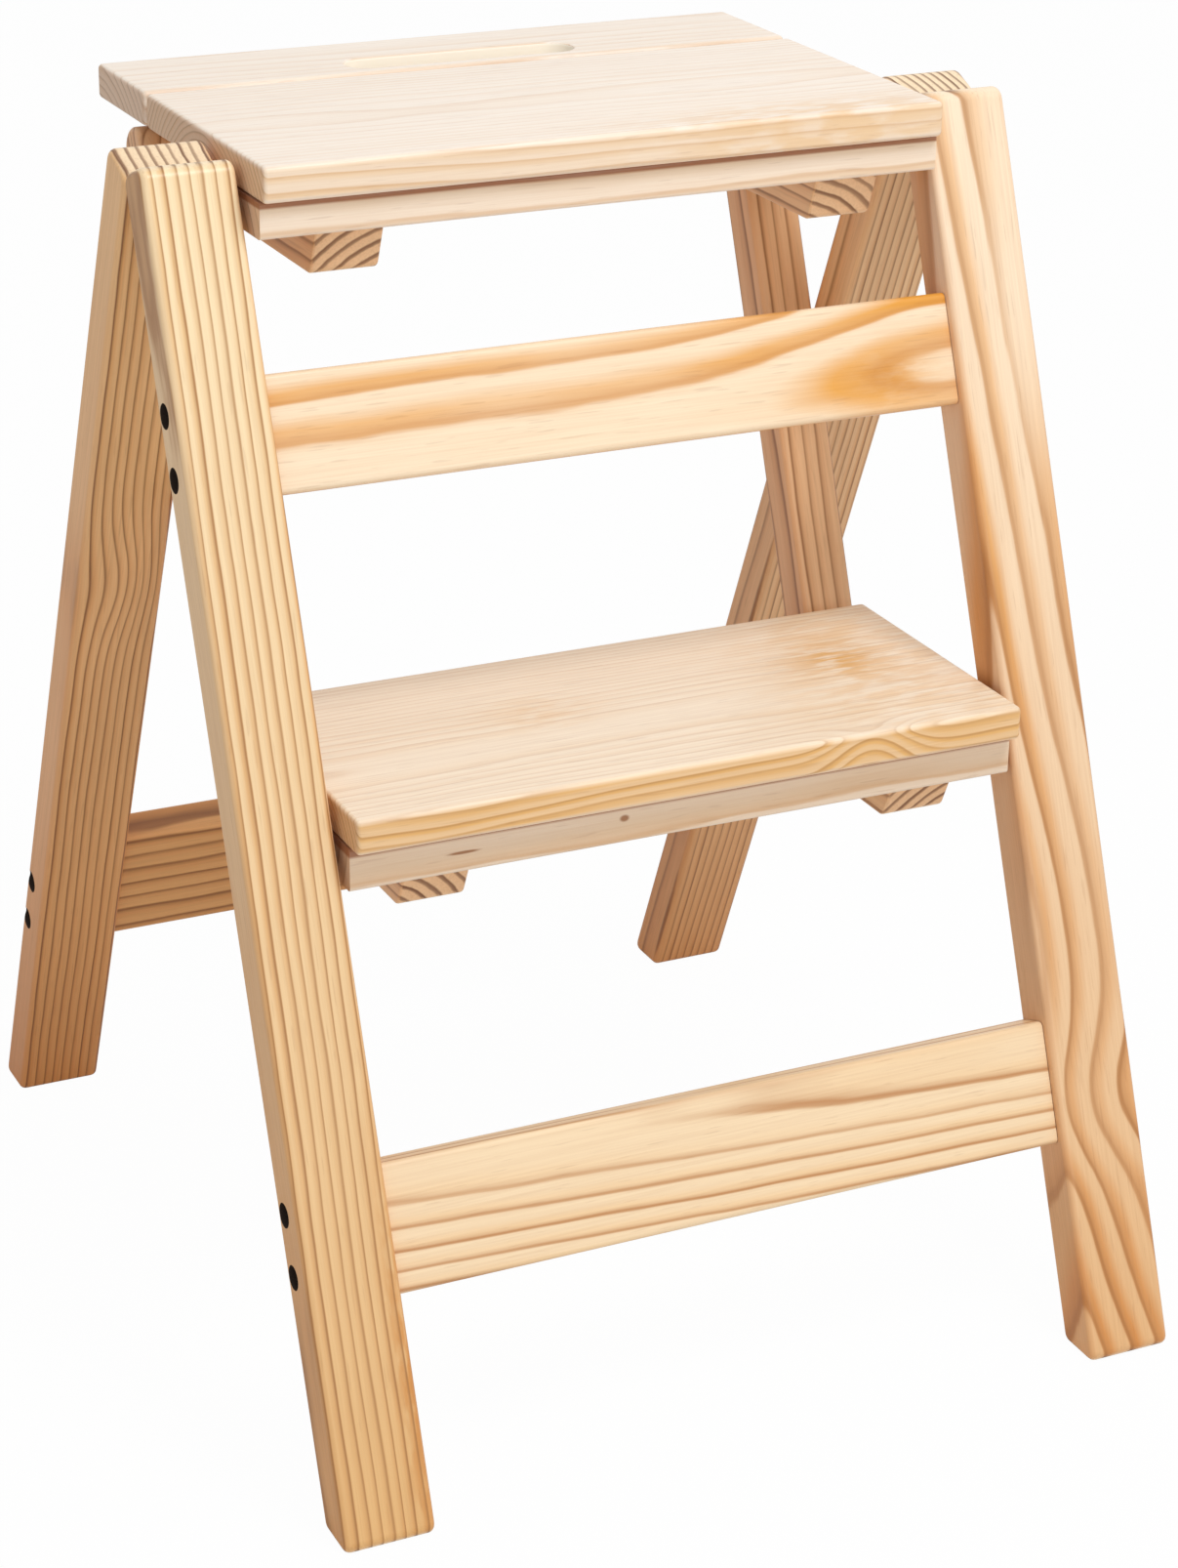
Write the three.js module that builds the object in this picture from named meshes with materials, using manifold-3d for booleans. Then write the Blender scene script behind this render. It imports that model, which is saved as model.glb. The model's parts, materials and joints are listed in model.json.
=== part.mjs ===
// Folding step stool in solid pine: a front leg frame with two rails, a rear leg frame with one,
// a seat of two boards and a step of one. Seat and step are hinged to the front legs, and two
// links parallel to those legs tie them together. The rear legs are hinged to the links, so
// lifting the seat raises the step and draws the rear frame in, all in one fold.
// Millimetres, +Z up, front towards -Y. The origin is on the floor in the middle of the feet.
import * as THREE from 'three';
import { mergeVertices } from 'three/addons/utils/BufferGeometryUtils.js';
import Module from 'manifold-3d';

const wasm = await Module();
wasm.setup();

// Overall sizes
const seatTop = 520;
const stepTop = 279;
const frameWidth = 390;
const frontLean = THREE.MathUtils.degToRad(21);
const rearLean = THREE.MathUtils.degToRad(23);

// Legs: square top ends with rounded corners, feet cut level with the floor
const legWidth = 39.5;
const legThick = 23;
const legTopDrop = 4.7;
const legTopRound = 6;
const legFootRound = 4;
const legEdgeRound = 3;
const meetGap = 0.3;

// Rails, set into the legs' thickness near their rear faces
const railThick = 18;
const railRearInset = 0.5;
const railRound = 2.5;
const upperRailHeight = 48;
const upperRailDrop = 104.2;
const lowerRailHeight = 54;
const lowerRailMiddle = 116;
const rearRailHeight = 65;
const rearRailMiddle = 123.8;

// Boards of the seat and the step
const boardThick = 15;
const boardWidth = 139;
const slatWidth = 60.5;
const slatGap = 3.5;
const boardSideGap = 3;
const boardEdgeRound = 2;
const boardCornerRound = 2.4;
const slotLength = 108;
const slotWidth = 20;
const slotInset = 17.5;

// Battens under the boards' front edges, which take the front pivots in their ends
const battenWidth = 40;
const battenRound = 1.5;
const seatBattenThick = 15;
const seatBattenSetback = 5;
const seatPivotInset = 30.2;
const stepBattenThick = 18.5;
const stepBattenSetback = 8.6;
const stepPivotInset = 26.9;

// Cleats that run front to back under the boards and carry the rear pivots
const cleatWidth = 29.5;
const cleatHeight = 34.5;
const cleatSetback = 4;
const cleatUndercut = 7;
const cleatPivotEdge = 9.5;
const cleatEndReach = 12;
const cleatFrontRound = 3;
const cleatEndRound = 9;
const cleatCornerRound = 1.6;
const cleatEdgeRound = 1.2;

// Links between the step's cleats, the rear legs and the seat's cleats
const linkWidth = 25;
const linkThick = 23;
const linkSideGap = 2;
const linkCleatGap = 1;
const linkLowerReach = 14;
const linkUpperReach = 23;
const linkEdgeRound = 2.5;
const stepRearClear = 5.75;
const pivotSetback = 3;

// Steel pins in blind holes, and the rail screws at the bottom of their counterbores
const pinRadius = 3.5;
const pinDepth = 18;
const pinEndRound = 0.8;
const pinClear = 0.3;
const counterboreRadius = 5.3;
const counterboreDepth = 14;
const screwHeadRadius = 4.4;
const screwHeadThick = 3;
const screwHeadRound = 1;
const screwRadius = 2.3;
const screwInRail = 32;
const screwTip = 5;
const screwSpacing = 25.5;
const screwShift = 1.5;
const rearScrewShift = 3.5;
const rearScrewDrop = 11.4;
const screwClear = 0.3;

// Fits
const fitGap = 0.3;
const cutOverrun = 1;
const weldReach = 1e-4;

// Facets: arc steps per quarter circle, rounds along edges, and sides of round pieces
const arcSteps = 2;
const edgeSteps = 2;
const roundSides = 24;
const screwSides = 16;

// Places across the width, for the right side
const legInner = frameWidth / 2 - legWidth;
const legMiddle = frameWidth / 2 - legWidth / 2;
const linkOuter = legInner - linkSideGap;
const linkInner = linkOuter - linkWidth;
const cleatOuter = linkInner - linkCleatGap;
const boardHalf = legInner - boardSideGap;

// Places in the side view. A leaning frame is drawn upright and then tilted about the floor
// line under the middle of its legs, so a tilt below zero takes its top to the rear.
const legTop = seatTop - legTopDrop;
const halfLeg = legThick / 2;
const frontFoot = halfLeg / Math.cos(frontLean);
const rearFoot = halfLeg / Math.cos(rearLean);
const depth = topReach(frontLean) + topReach(rearLean) + frontFoot + rearFoot + meetGap;
const frontFrame = { tilt: -frontLean, y: frontFoot - depth / 2 };
const rearFrame = { tilt: rearLean, y: depth / 2 - rearFoot };

const seatUnder = seatTop - boardThick;
const stepUnder = stepTop - boardThick;
const seatPivot = frontPivot(seatUnder - fitGap - seatBattenThick / 2);
const stepPivot = frontPivot(stepUnder - fitGap - stepBattenThick / 2);

// The links' middle line clears the step board's rear edge, and the same drop from the front
// to the rear pivot on seat and step makes the four pivots a parallelogram.
const linkDrop = cleatHeight - cleatPivotEdge - (seatUnder - seatPivot.z);
const linkHalfRun = (linkThick / 2 + stepRearClear) / Math.cos(frontLean);
const linkAtStep = stepPivot.y - stepPivotInset + boardWidth + linkHalfRun;
const lowerRise = stepUnder - (stepPivot.z - linkDrop);
const linkReach = linkAtStep - lowerRise * Math.tan(frontLean) - stepPivot.y;
const linkLower = { y: stepPivot.y + linkReach, z: stepPivot.z - linkDrop };
const linkUpper = { y: seatPivot.y + linkReach, z: seatPivot.z - linkDrop };
const linkLength = (linkUpper.z - linkLower.z) / Math.cos(frontLean);

// The rear frame's pivot is where the middle lines of the links and the rear legs cross
const legSlopes = Math.tan(frontLean) + Math.tan(rearLean);
const crossRise = (rearFrame.y - linkLower.y + linkLower.z * Math.tan(frontLean)) / legSlopes;
const rearPivot = { y: rearFrame.y - crossRise * Math.tan(rearLean), z: crossRise };

// How far a leg's rounded top corner reaches in from the middle of its foot
function topReach(lean) {
  const cornerAcross = (halfLeg - legTopRound) * Math.cos(lean) - legTopRound * Math.sin(lean);
  return legTop * Math.tan(lean) + cornerAcross + legTopRound;
}

// A pivot on the front legs, a little behind their middle plane
function frontPivot(z) {
  return { y: frontFrame.y + z * Math.tan(frontLean) + pivotSetback / Math.cos(frontLean), z };
}

// A place in the side view seen from inside a tilted frame
function inFrame(frame, place) {
  const dy = place.y - frame.y;
  const dz = place.z - (frame.z ?? 0);
  const cos = Math.cos(frame.tilt);
  const sin = Math.sin(frame.tilt);
  return { y: dy * cos + dz * sin, z: dz * cos - dy * sin };
}

// Closed outline through corners given as [across, up, radius]
function roundedOutline(corners) {
  const shape = new THREE.Shape();
  corners.forEach(([x, y, radius], i) => {
    const corner = new THREE.Vector2(x, y);
    const [px, py] = corners[(i + corners.length - 1) % corners.length];
    const [nx, ny] = corners[(i + 1) % corners.length];
    const back = new THREE.Vector2(px, py).sub(corner).normalize();
    const ahead = new THREE.Vector2(nx, ny).sub(corner).normalize();
    const half = Math.acos(back.dot(ahead)) / 2;
    const start = corner.clone().addScaledVector(back, radius / Math.tan(half));
    const end = corner.clone().addScaledVector(ahead, radius / Math.tan(half));
    const bisector = back.clone().add(ahead).normalize();
    const centre = corner.clone().addScaledVector(bisector, radius / Math.sin(half));
    if (i === 0) shape.moveTo(start.x, start.y);
    else shape.lineTo(start.x, start.y);
    const from = start.clone().sub(centre).angle();
    const to = end.clone().sub(centre).angle();
    shape.absarc(centre.x, centre.y, radius, from, to, back.cross(ahead) > 0);
  });
  shape.closePath();
  return shape;
}

// A side-view outline stretched across the width about x = 0, its end edges rounded
function bar(shape, width, edgeRound = 0) {
  const geometry = new THREE.ExtrudeGeometry(shape, {
    depth: width - 2 * edgeRound,
    curveSegments: arcSteps,
    bevelEnabled: edgeRound > 0,
    bevelThickness: edgeRound,
    bevelSize: edgeRound,
    bevelOffset: -edgeRound,
    bevelSegments: edgeSteps,
  });
  geometry.translate(0, 0, edgeRound - width / 2);
  geometry.applyMatrix4(new THREE.Matrix4().set(0, 0, 1, 0, 1, 0, 0, 0, 0, 1, 0, 0, 0, 0, 0, 1));
  return geometry;
}

// A round piece along x: profile points are [along, radius] from left to right
function turned(profile, sides) {
  const points = profile.map(([along, radius]) => new THREE.Vector2(radius, along));
  const geometry = new THREE.LatheGeometry(points, sides);
  geometry.rotateZ(-Math.PI / 2);
  return geometry;
}

function rod(left, right, radius, sides = roundSides) {
  return turned([[left, 0], [left, radius], [right, radius], [right, 0]], sides);
}

// Closed solid of a geometry, for cutting
function solidOf(geometry) {
  const bare = geometry.clone();
  bare.deleteAttribute('normal');
  bare.deleteAttribute('uv');
  const merged = mergeVertices(bare, weldReach);
  return new wasm.Manifold(new wasm.Mesh({
    numProp: 3,
    vertProperties: new Float32Array(merged.attributes.position.array),
    triVerts: new Uint32Array(merged.index.array),
  }));
}

function geometryOf(solid) {
  const { vertProperties, triVerts } = solid.getMesh();
  const geometry = new THREE.BufferGeometry();
  geometry.setAttribute('position', new THREE.BufferAttribute(vertProperties, 3));
  geometry.setIndex(new THREE.BufferAttribute(triVerts, 1));
  geometry.computeVertexNormals();
  return geometry;
}

function cutFrom(geometry, cutters) {
  let solid = solidOf(geometry);
  for (const cutter of cutters) solid = solid.subtract(solidOf(cutter));
  return geometryOf(solid);
}

// Lacquered pine in one of its shades, bright steel pins and blackened screws
function pine(colour) {
  return new THREE.MeshStandardMaterial({ color: colour, roughness: 0.45, metalness: 0 });
}

function steel(colour) {
  return new THREE.MeshStandardMaterial({ color: colour, roughness: 0.35, metalness: 0.9 });
}

const palePine = 0xecd2a8;
const honeyPine = 0xd9a968;
const brownPine = 0xc08a52;
const brightSteel = 0x8e9093;
const blackSteel = 0x232220;

function add(group, name, geometry, material, x = 0, y = 0, z = 0) {
  const mesh = new THREE.Mesh(geometry, material);
  mesh.name = name;
  mesh.position.set(x, y, z);
  group.add(mesh);
  return mesh;
}

function groupAt(y, z, tilt = 0) {
  const group = new THREE.Group();
  group.position.set(0, y, z);
  group.rotation.x = tilt;
  stool.add(group);
  return group;
}

const sides = { left: -1, right: 1 };

// Blind pin hole in the face at x = face, going `into` the wood (-1 or 1 along x)
function pinHole(face, into, place) {
  const ends = [face - into * cutOverrun, face + into * (pinDepth + pinClear)];
  const hole = rod(Math.min(...ends), Math.max(...ends), pinRadius + pinClear);
  return hole.translate(0, place.y, place.z);
}

// Pin that crosses from the face at x = from to the face at x = to, for the right side
function addPins(group, name, from, to, place) {
  const left = from - pinDepth;
  const right = to + pinDepth;
  const profile = [[left, 0], [left, pinRadius - pinEndRound], [left + pinEndRound, pinRadius],
    [right - pinEndRound, pinRadius], [right, pinRadius - pinEndRound], [right, 0]];
  for (const [side, sign] of Object.entries(sides)) {
    const geometry = turned(profile, roundSides);
    if (sign < 0) geometry.rotateZ(Math.PI);
    add(group, `${name}_${side}`, geometry, steel(brightSteel), 0, place.y, place.z);
  }
}

// Places of a rail and its screws inside a leaning frame
function railPlace(frame, middle, height, screwMiddleShift, screwDrop) {
  const front = halfLeg - railRearInset - railThick;
  const z = (middle - front * Math.sin(frame.tilt)) / Math.cos(frame.tilt);
  const y = front + railThick / 2;
  const screws = [-1, 1].map((end) => ({
    y: y + screwMiddleShift,
    z: z - screwDrop + end * screwSpacing / 2,
  }));
  return { y, z, height, screws };
}

// One leg, with its counterbored screw holes from outside and pin holes from inside
function addLegs(group, name, frame, rails, pivots) {
  const length = legTop / Math.cos(frame.tilt);
  const footRise = halfLeg * Math.tan(frame.tilt);
  const shape = roundedOutline([
    [-halfLeg, footRise, legFootRound],
    [halfLeg, -footRise, legFootRound],
    [halfLeg, length, legTopRound],
    [-halfLeg, length, legTopRound],
  ]);
  for (const [side, sign] of Object.entries(sides)) {
    const outer = sign * legWidth / 2;
    const cutters = [];
    for (const { screws } of rails) {
      for (const screw of screws) {
        const bore = [outer + sign * cutOverrun, outer - sign * counterboreDepth];
        const shank = [outer, -outer - sign * cutOverrun];
        cutters.push(rod(Math.min(...bore), Math.max(...bore), counterboreRadius)
          .translate(0, screw.y, screw.z));
        cutters.push(rod(Math.min(...shank), Math.max(...shank), screwRadius + screwClear, screwSides)
          .translate(0, screw.y, screw.z));
      }
    }
    for (const pivot of pivots) cutters.push(pinHole(-outer, sign, inFrame(frame, pivot)));
    const geometry = cutFrom(bar(shape, legWidth, legEdgeRound), cutters);
    add(group, `${name}_leg_${side}`, geometry, pine(honeyPine), sign * legMiddle);
  }
}

// A rail between the legs with a screw hole drilled in from each end for each screw
function addRail(group, name, rail, colour) {
  const length = 2 * (legInner - fitGap);
  const shape = roundedOutline([
    [-railThick / 2, -rail.height / 2, railRound],
    [railThick / 2, -rail.height / 2, railRound],
    [railThick / 2, rail.height / 2, railRound],
    [-railThick / 2, rail.height / 2, railRound],
  ]);
  const holes = [];
  for (const sign of Object.values(sides)) {
    const ends = [sign * (length / 2 + cutOverrun), sign * (legInner - screwInRail - screwClear)];
    for (const screw of rail.screws) {
      holes.push(rod(Math.min(...ends), Math.max(...ends), screwRadius + screwClear, screwSides)
        .translate(0, screw.y - rail.y, screw.z - rail.z));
    }
  }
  const geometry = cutFrom(bar(shape, length), holes);
  add(group, `${name}_rail`, geometry, pine(colour), 0, rail.y, rail.z);

  const head = frameWidth / 2 - counterboreDepth + screwClear;
  const tip = legInner - screwInRail;
  const profile = [[tip, 0], [tip + screwTip, screwRadius], [head, screwRadius],
    [head, screwHeadRadius], [head + screwHeadThick - screwHeadRound, screwHeadRadius],
    [head + screwHeadThick, screwHeadRadius - screwHeadRound], [head + screwHeadThick, 0]];
  const levels = { lower: rail.screws[0], upper: rail.screws[1] };
  for (const [side, sign] of Object.entries(sides)) {
    for (const [level, place] of Object.entries(levels)) {
      const screw = turned(profile, screwSides);
      if (sign < 0) screw.rotateZ(Math.PI);
      add(group, `${name}_screw_${side}_${level}`, screw, steel(blackSteel), 0, place.y, place.z);
    }
  }
}

// Board lying across the width, its front edge at y = front and its underside at z = under
function boardShape(front, width, under) {
  return roundedOutline([
    [front, under, boardCornerRound],
    [front + width, under, boardCornerRound],
    [front + width, under + boardThick, boardCornerRound],
    [front, under + boardThick, boardCornerRound],
  ]);
}

// Batten and two cleats under a board. Everything is placed from the front pivot, which lies
// at half the batten's thickness; `front` is the board's front edge and `under` its underside.
function addUnderside(group, name, front, under, battenThick, battenSetback) {
  const battenFront = front + battenSetback;
  const battenRear = battenFront + battenWidth;
  const batten = roundedOutline([
    [battenFront, -battenThick / 2, battenRound],
    [battenRear, -battenThick / 2, battenRound],
    [battenRear, battenThick / 2, battenRound],
    [battenFront, battenThick / 2, battenRound],
  ]);
  const pinHoles = Object.values(sides).map((sign) => pinHole(sign * boardHalf, -sign, { y: 0, z: 0 }));
  add(group, `${name}_front_batten`, cutFrom(bar(batten, 2 * boardHalf), pinHoles), pine(palePine));

  const notchFloor = -battenThick / 2 - fitGap;
  const cleatFront = battenFront + cleatSetback;
  const cleatEnd = linkReach + cleatEndReach;
  const cleatTop = under - fitGap;
  const cleatFloor = under - cleatHeight;
  const cleat = roundedOutline([
    [cleatFront + cleatUndercut, cleatFloor, cleatFrontRound],
    [cleatEnd, cleatFloor, cleatEndRound],
    [cleatEnd, cleatTop, cleatCornerRound],
    [battenRear + fitGap, cleatTop, cleatCornerRound],
    [battenRear + fitGap, notchFloor, cleatCornerRound],
    [cleatFront, notchFloor, cleatCornerRound],
  ]);
  for (const [side, sign] of Object.entries(sides)) {
    const hole = pinHole(sign * cleatWidth / 2, -sign, { y: linkReach, z: -linkDrop });
    const geometry = cutFrom(bar(cleat, cleatWidth, cleatEdgeRound), [hole]);
    add(group, `${name}_cleat_${side}`, geometry, pine(brownPine), sign * (cleatOuter - cleatWidth / 2));
  }
}

const stool = new THREE.Group();

// Front frame: two legs and two rails
const front = groupAt(frontFrame.y, 0, frontFrame.tilt);
const upperRail = railPlace(frontFrame, seatTop - upperRailDrop, upperRailHeight, screwShift, 0);
const lowerRail = railPlace(frontFrame, lowerRailMiddle, lowerRailHeight, screwShift, 0);
addLegs(front, 'front', frontFrame, [upperRail, lowerRail], [seatPivot, stepPivot]);
addRail(front, 'front_upper', upperRail, honeyPine);
addRail(front, 'front_lower', lowerRail, honeyPine);
addPins(front, 'seat_pivot_pin', boardHalf, legInner, inFrame(frontFrame, seatPivot));
addPins(front, 'step_pivot_pin', boardHalf, legInner, inFrame(frontFrame, stepPivot));

// Rear frame: two legs and one rail
const rear = groupAt(rearFrame.y, 0, rearFrame.tilt);
const rearRail = railPlace(rearFrame, rearRailMiddle, rearRailHeight, rearScrewShift, rearScrewDrop);
addLegs(rear, 'rear', rearFrame, [rearRail], [rearPivot]);
addRail(rear, 'rear_lower', rearRail, brownPine);
addPins(rear, 'rear_pivot_pin', linkOuter, legInner, inFrame(rearFrame, rearPivot));

// Links, drawn upright from the lower pivot and tilted like the front legs
const linkFrame = { tilt: frontFrame.tilt, ...linkLower };
const links = groupAt(linkFrame.y, linkFrame.z, linkFrame.tilt);
const linkCorner = linkThick / 2;
const linkShape = roundedOutline([
  [-linkThick / 2, -linkLowerReach, linkCorner],
  [linkThick / 2, -linkLowerReach, linkCorner],
  [linkThick / 2, linkLength + linkUpperReach, linkCorner],
  [-linkThick / 2, linkLength + linkUpperReach, linkCorner],
]);
for (const [side, sign] of Object.entries(sides)) {
  const inner = -sign * linkWidth / 2;
  const holes = [
    pinHole(inner, sign, inFrame(linkFrame, linkLower)),
    pinHole(inner, sign, inFrame(linkFrame, linkUpper)),
    pinHole(-inner, -sign, inFrame(linkFrame, rearPivot)),
  ];
  const geometry = cutFrom(bar(linkShape, linkWidth, linkEdgeRound), holes);
  add(links, `link_${side}`, geometry, pine(brownPine), sign * (linkInner + linkWidth / 2));
}
addPins(links, 'link_step_pin', cleatOuter, linkInner, inFrame(linkFrame, linkLower));
addPins(links, 'link_seat_pin', cleatOuter, linkInner, inFrame(linkFrame, linkUpper));

// Seat: a wide board, a narrow slat behind it with the handle slot, and the pieces below
const seat = groupAt(seatPivot.y, seatPivot.z);
const seatLift = seatUnder - seatPivot.z;
const seatMain = bar(boardShape(-seatPivotInset, boardWidth, seatLift), 2 * boardHalf, boardEdgeRound);
add(seat, 'seat_main_board', seatMain, pine(palePine));
const slatFront = boardWidth + slatGap - seatPivotInset;
const slotBend = slotWidth / 2;
const slot = roundedOutline([
  [-slotLength / 2, -slotBend, slotBend],
  [slotLength / 2, -slotBend, slotBend],
  [slotLength / 2, slotBend, slotBend],
  [-slotLength / 2, slotBend, slotBend],
]);
const slotCut = new THREE.ExtrudeGeometry(slot, {
  depth: boardThick + 2 * cutOverrun,
  curveSegments: 2 * arcSteps,
  bevelEnabled: false,
}).translate(0, slatFront + slotInset, seatLift - cutOverrun);
const slat = bar(boardShape(slatFront, slatWidth, seatLift), 2 * boardHalf, boardEdgeRound);
add(seat, 'seat_rear_slat', cutFrom(slat, [slotCut]), pine(palePine));
addUnderside(seat, 'seat', -seatPivotInset, seatLift, seatBattenThick, seatBattenSetback);

// Step: one wide board and the same pieces below
const step = groupAt(stepPivot.y, stepPivot.z);
const stepLift = stepUnder - stepPivot.z;
const stepBoard = bar(boardShape(-stepPivotInset, boardWidth, stepLift), 2 * boardHalf, boardEdgeRound);
add(step, 'step_board', stepBoard, pine(palePine));
addUnderside(step, 'step', -stepPivotInset, stepLift, stepBattenThick, stepBattenSetback);

export default stool;
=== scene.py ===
"""A folding step stool in lacquered pine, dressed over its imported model. Metres, +Z up, front towards -Y."""
import json
from math import cos, pi, radians, sin, tan

import bpy
from mathutils import Matrix, Vector


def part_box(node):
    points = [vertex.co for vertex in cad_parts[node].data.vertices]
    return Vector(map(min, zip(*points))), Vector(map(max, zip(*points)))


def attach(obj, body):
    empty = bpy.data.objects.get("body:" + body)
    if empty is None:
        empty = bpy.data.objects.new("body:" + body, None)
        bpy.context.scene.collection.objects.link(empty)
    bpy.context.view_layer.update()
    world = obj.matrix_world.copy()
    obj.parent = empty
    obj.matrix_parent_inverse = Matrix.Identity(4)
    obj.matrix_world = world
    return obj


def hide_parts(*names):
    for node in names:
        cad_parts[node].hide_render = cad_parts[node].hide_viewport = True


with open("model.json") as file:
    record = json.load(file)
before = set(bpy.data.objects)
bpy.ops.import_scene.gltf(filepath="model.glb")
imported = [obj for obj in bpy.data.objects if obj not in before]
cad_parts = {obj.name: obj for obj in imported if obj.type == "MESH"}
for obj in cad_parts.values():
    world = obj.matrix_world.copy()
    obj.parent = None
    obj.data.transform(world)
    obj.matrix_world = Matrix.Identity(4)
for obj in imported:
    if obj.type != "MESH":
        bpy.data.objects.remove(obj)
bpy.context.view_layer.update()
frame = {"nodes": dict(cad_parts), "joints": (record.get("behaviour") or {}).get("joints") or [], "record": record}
bpy.ops.object.select_all(action="DESELECT")


# The photograph's view
# The camera stands in front of the stool, to its left and above the seat, and looks down on it,
# so that the whole stool fills the picture.
picture_height = 1606
focal_pixels = 3768.7
film_height = 36
view_side = radians(-25.64)
view_down = radians(23.27)
view_roll = radians(0.84)
view_place = Vector((-0.64225, -1.37366, 0.86535))

ahead = Vector((-sin(view_side) * cos(view_down), cos(view_side) * cos(view_down), -sin(view_down)))
level = ahead.cross(Vector((0, 0, 1))).normalized()
upright = level.cross(ahead)
right = level * cos(view_roll) + upright * sin(view_roll)
up = upright * cos(view_roll) - level * sin(view_roll)
camera_data = bpy.data.cameras.new("camera")
camera_data.sensor_fit = "VERTICAL"
camera_data.sensor_height = film_height
camera_data.lens = focal_pixels / picture_height * film_height
camera = bpy.data.objects.new("camera", camera_data)
bpy.context.scene.collection.objects.link(camera)
camera.matrix_world = Matrix.Translation(view_place) @ Matrix((right, up, -ahead)).transposed().to_4x4()
bpy.context.scene.camera = camera
bpy.context.scene.view_settings.view_transform = "Standard"


# Studio lamps
# A bright lamp above the front and a little to the right lights the seat, the step and the fronts
# of the legs, and falls off towards the feet. A broad weak one in front fills what faces down.
lamp_target = Vector((0, 0, 0.35))


def soft_lamp(name, side, rise, distance, size, share):
    """A square lamp seen from the stool at `side` degrees right of the front and `rise` degrees up."""
    across, height = radians(side), radians(rise)
    towards = Vector((sin(across) * cos(height), -cos(across) * cos(height), sin(height)))
    data = bpy.data.lights.new(name, "AREA")
    data.size = size
    data.energy = share * (pi * distance) ** 2
    lamp = bpy.data.objects.new(name, data)
    bpy.context.scene.collection.objects.link(lamp)
    lamp.location = lamp_target + towards * distance
    lamp.rotation_euler = (-towards).to_track_quat("-Z", "Y").to_euler()


soft_lamp("high_lamp", side=18, rise=58, distance=1.9, size=0.55, share=0.445)
soft_lamp("front_lamp", side=6, rise=14, distance=3.2, size=1.4, share=0.125)


# Floor and backdrop
# A wide matt floor and white air round it. The camera sees both brighter than the lamps leave
# them, so they read as white paper, and the floor still takes the stool's soft shadow.
class Wire:
    """One output of a shader node. Numbers and wires add, subtract, multiply and divide."""

    def __init__(self, tree, socket=None):
        self.tree = tree
        self.socket = socket

    def node(self, kind, inputs, output=0, stops=None, **settings):
        """A new node, with its settings, its ramp's stops and then its inputs. Gives one output."""
        made = self.tree.nodes.new(kind)
        for key, value in settings.items():
            setattr(made, key, value)
        if stops:
            ramp = made.color_ramp
            while len(ramp.elements) < len(stops):
                ramp.elements.new(1)
            for element, (place, grey) in zip(ramp.elements, stops):
                element.position = place
                element.color = (grey, grey, grey, 1)
        for key, value in inputs.items():
            if isinstance(value, Wire):
                self.tree.links.new(value.socket, made.inputs[key])
            else:
                made.inputs[key].default_value = value
        return Wire(self.tree, made.outputs[output] if made.outputs else None)

    def math(self, operation, first, second=0.0):
        return self.node("ShaderNodeMath", {0: first, 1: second}, operation=operation)

    def __add__(self, other):
        return self.math("ADD", self, other)

    def __sub__(self, other):
        return self.math("SUBTRACT", self, other)

    def __rsub__(self, other):
        return self.math("SUBTRACT", other, self)

    def __mul__(self, other):
        return self.math("MULTIPLY", self, other)

    def __truediv__(self, other):
        return self.math("DIVIDE", self, other)

    __radd__ = __add__
    __rmul__ = __mul__

    def ramp(self, stops):
        return self.node("ShaderNodeValToRGB", {0: self}, stops=stops)

    def mix(self, first, second, blend="MIX"):
        """The second colour over the first, as far as this wire says."""
        inputs = {0: self, 6: first, 7: second}
        return self.node("ShaderNodeMix", inputs, 2, data_type="RGBA", blend_type=blend)


def material(name):
    made = bpy.data.materials.new(name)
    made.use_nodes = True
    made.node_tree.nodes.clear()
    return made, Wire(made.node_tree)


white = (1, 1, 1, 1)
room_light = 0.57
floor_reach = 30
floor_grey = 0.85
floor_whitening = 0.975

world = bpy.data.worlds.new("studio")
bpy.context.scene.world = world
world.use_nodes = True
world.node_tree.nodes.clear()
air = Wire(world.node_tree)
seen = air.node("ShaderNodeLightPath", {}, "Is Camera Ray")
mirrored = air.node("ShaderNodeLightPath", {}, "Is Glossy Ray")
strength = room_light + air.math("MAXIMUM", seen, mirrored) * (1 - room_light)
glow = air.node("ShaderNodeBackground", {"Color": white, "Strength": strength})
air.node("ShaderNodeOutputWorld", {"Surface": glow})

bpy.ops.mesh.primitive_plane_add(size=floor_reach)
floor = bpy.context.object
floor.name = "floor"
floor_paint, coat = material("floor_paint")
matt = coat.node("ShaderNodeBsdfDiffuse", {"Color": (floor_grey, floor_grey, floor_grey, 1)})
bright = coat.node("ShaderNodeEmission", {"Color": white, "Strength": 1.0})
lift = coat.node("ShaderNodeLightPath", {}, "Is Camera Ray") * floor_whitening
paper = coat.node("ShaderNodeMixShader", {0: lift, 1: matt, 2: bright})
coat.node("ShaderNodeOutputMaterial", {"Surface": paper})
floor.data.materials.append(floor_paint)
floor.select_set(False)


# Front legs
# Two planed pine legs lean back at 21 degrees. Their feet are sawn level with the floor, their long
# edges are rounded, and each is counterbored from outside for its rail screws and bored for pins.
front_lean = radians(-21)
leg_top_drop = 0.0047
leg_thick = 0.023
leg_top_round = 0.006
leg_foot_round = 0.0043
leg_edge_round = 0.003
leg_overrun = 0.03
front_pivot_setback = 0.003
pin_bore = 0.0038
screw_bore = 0.0026
counterbore = 0.0053
counterbore_depth = 0.014
bore_clear = 0.0003
bore_sides = 48
round_steps = 5
top_round_steps = 7
smooth_angle = radians(32)
near = 1e-5

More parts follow.
